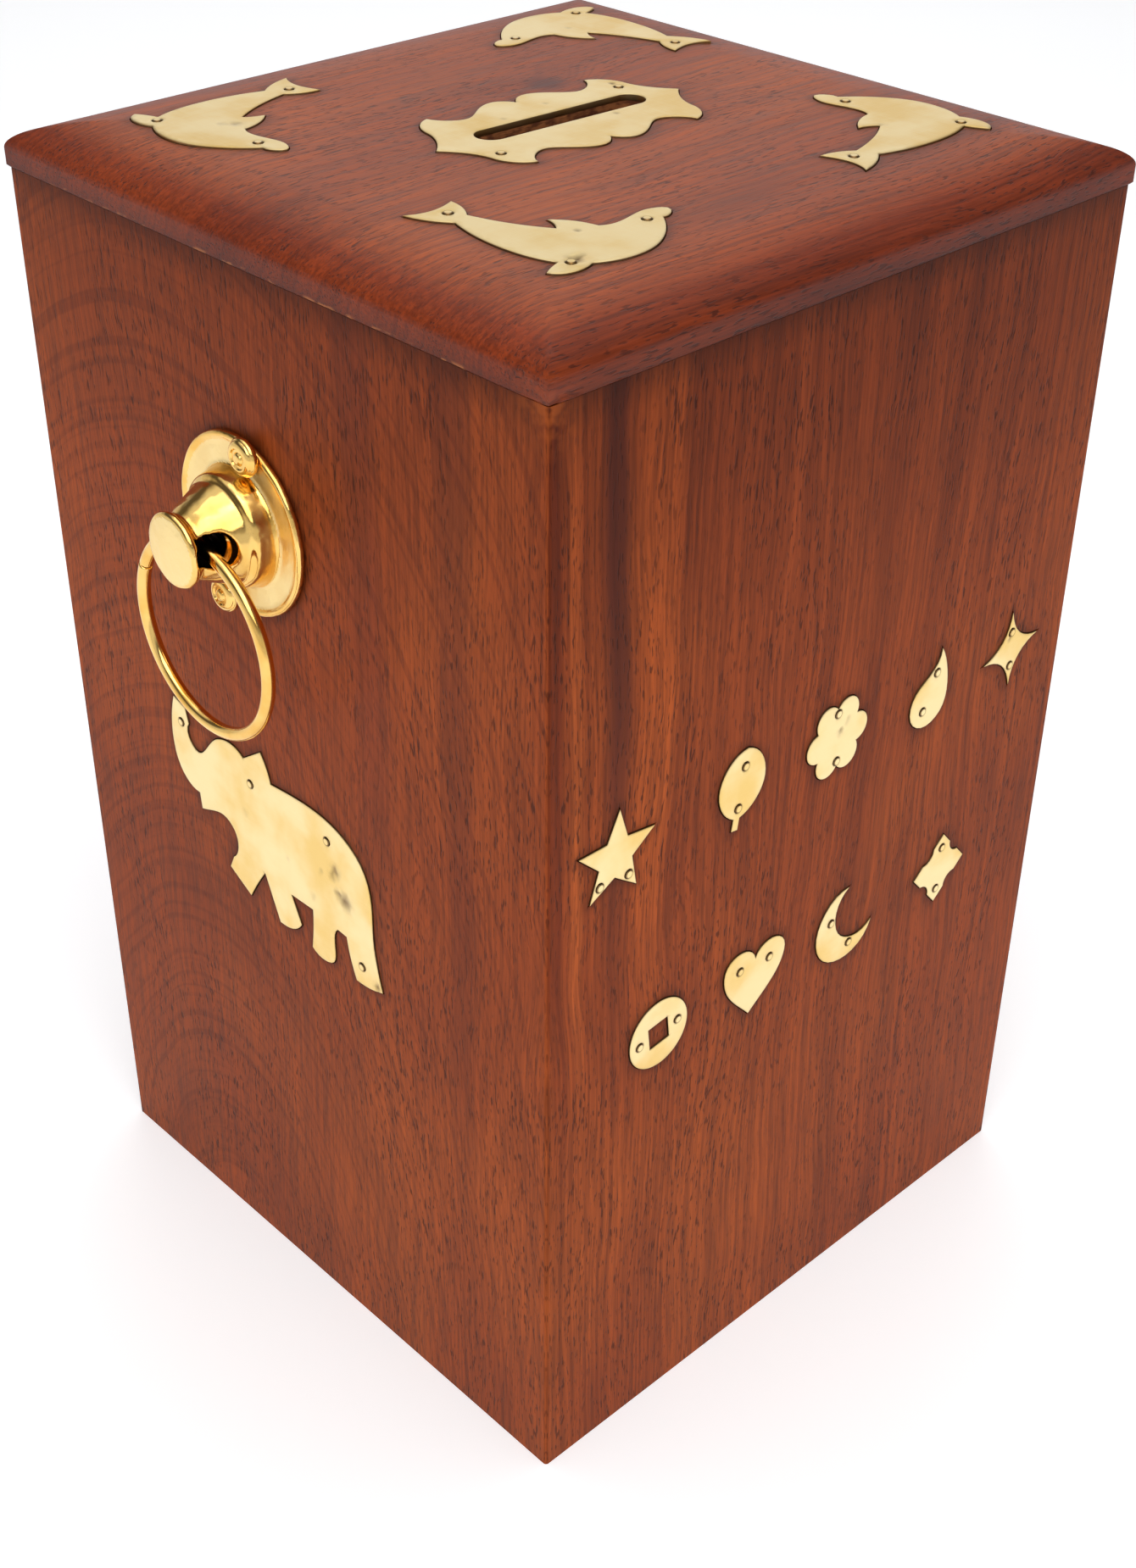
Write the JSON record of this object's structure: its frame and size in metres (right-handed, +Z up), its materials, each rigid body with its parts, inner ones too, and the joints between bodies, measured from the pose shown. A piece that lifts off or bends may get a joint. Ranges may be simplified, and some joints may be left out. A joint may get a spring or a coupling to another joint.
{
  "type": "wooden money box",
  "caption": "Square upright wooden money box with a crowned lid, a coin slot in a brass plate, brass inlays on the top and sides, and a hinged brass ring pull on each side.",
  "frame": {"origin": "centre of the square bottom, on the surface that the box stands on", "axes": "+Z up; -Y out of the front, which carries the small inlays; -X out of the left side, which carries a ring pull and an elephant inlay"},
  "size_m": [0.1526, 0.1251, 0.2081],
  "materials": {
    "wall_wood": "satin lacquered reddish-brown hardwood, grain upright",
    "lid_wood": "satin lacquered reddish-brown hardwood, grain from side to side",
    "inner_wood": "bare softwood and plywood",
    "inlay_brass": "sanded sheet brass, fine scratches",
    "polished_brass": "polished cast and drawn brass",
    "screw_steel": "zinc-plated steel"
  },
  "bodies": {
    "box": {"back_board": "wall_wood", "base_board": "inner_wood", "base_screws": "screw_steel", "coin_inlay": "inlay_brass", "corner_block_back_left": "inner_wood", "corner_block_back_right": "inner_wood", "corner_block_front_left": "inner_wood", "corner_block_front_right": "inner_wood", "crescent_inlay": "inlay_brass", "dolphin_back_left": "inlay_brass", "dolphin_back_right": "inlay_brass", "dolphin_front_left": "inlay_brass", "dolphin_front_right": "inlay_brass", "drop_inlay": "inlay_brass", "elephant_left": "inlay_brass", "elephant_right": "inlay_brass", "flower_inlay": "inlay_brass", "four_point_inlay": "inlay_brass", "front_board": "wall_wood", "front_inlay_pins": "inlay_brass", "heart_inlay": "inlay_brass", "leaf_inlay": "inlay_brass", "left_board": "wall_wood", "left_inlay_pins": "inlay_brass", "left_pull_boss": "polished_brass", "left_pull_nails": "polished_brass", "lid_board": "lid_wood", "lozenge_inlay": "inlay_brass", "right_board": "wall_wood", "right_inlay_pins": "inlay_brass", "right_pull_boss": "polished_brass", "right_pull_nails": "polished_brass", "slot_plate": "inlay_brass", "star_inlay": "inlay_brass", "top_inlay_pins": "inlay_brass"},
    "left_ring": {"left_pull_ring": "polished_brass"},
    "right_ring": {"right_pull_ring": "polished_brass"}
  },
  "joints": [
    {"name": "left_ring_swing", "type": "hinge", "parent": "box", "child": "left_ring", "pos_m": [-0.072, 0.0054, 0.1593], "axis": [0, 1, 0], "range_deg": [-13, 193]},
    {"name": "right_ring_swing", "type": "hinge", "parent": "box", "child": "right_ring", "pos_m": [0.072, -0.0054, 0.1593], "axis": [0, -1, 0], "range_deg": [-13, 193]}
  ]
}
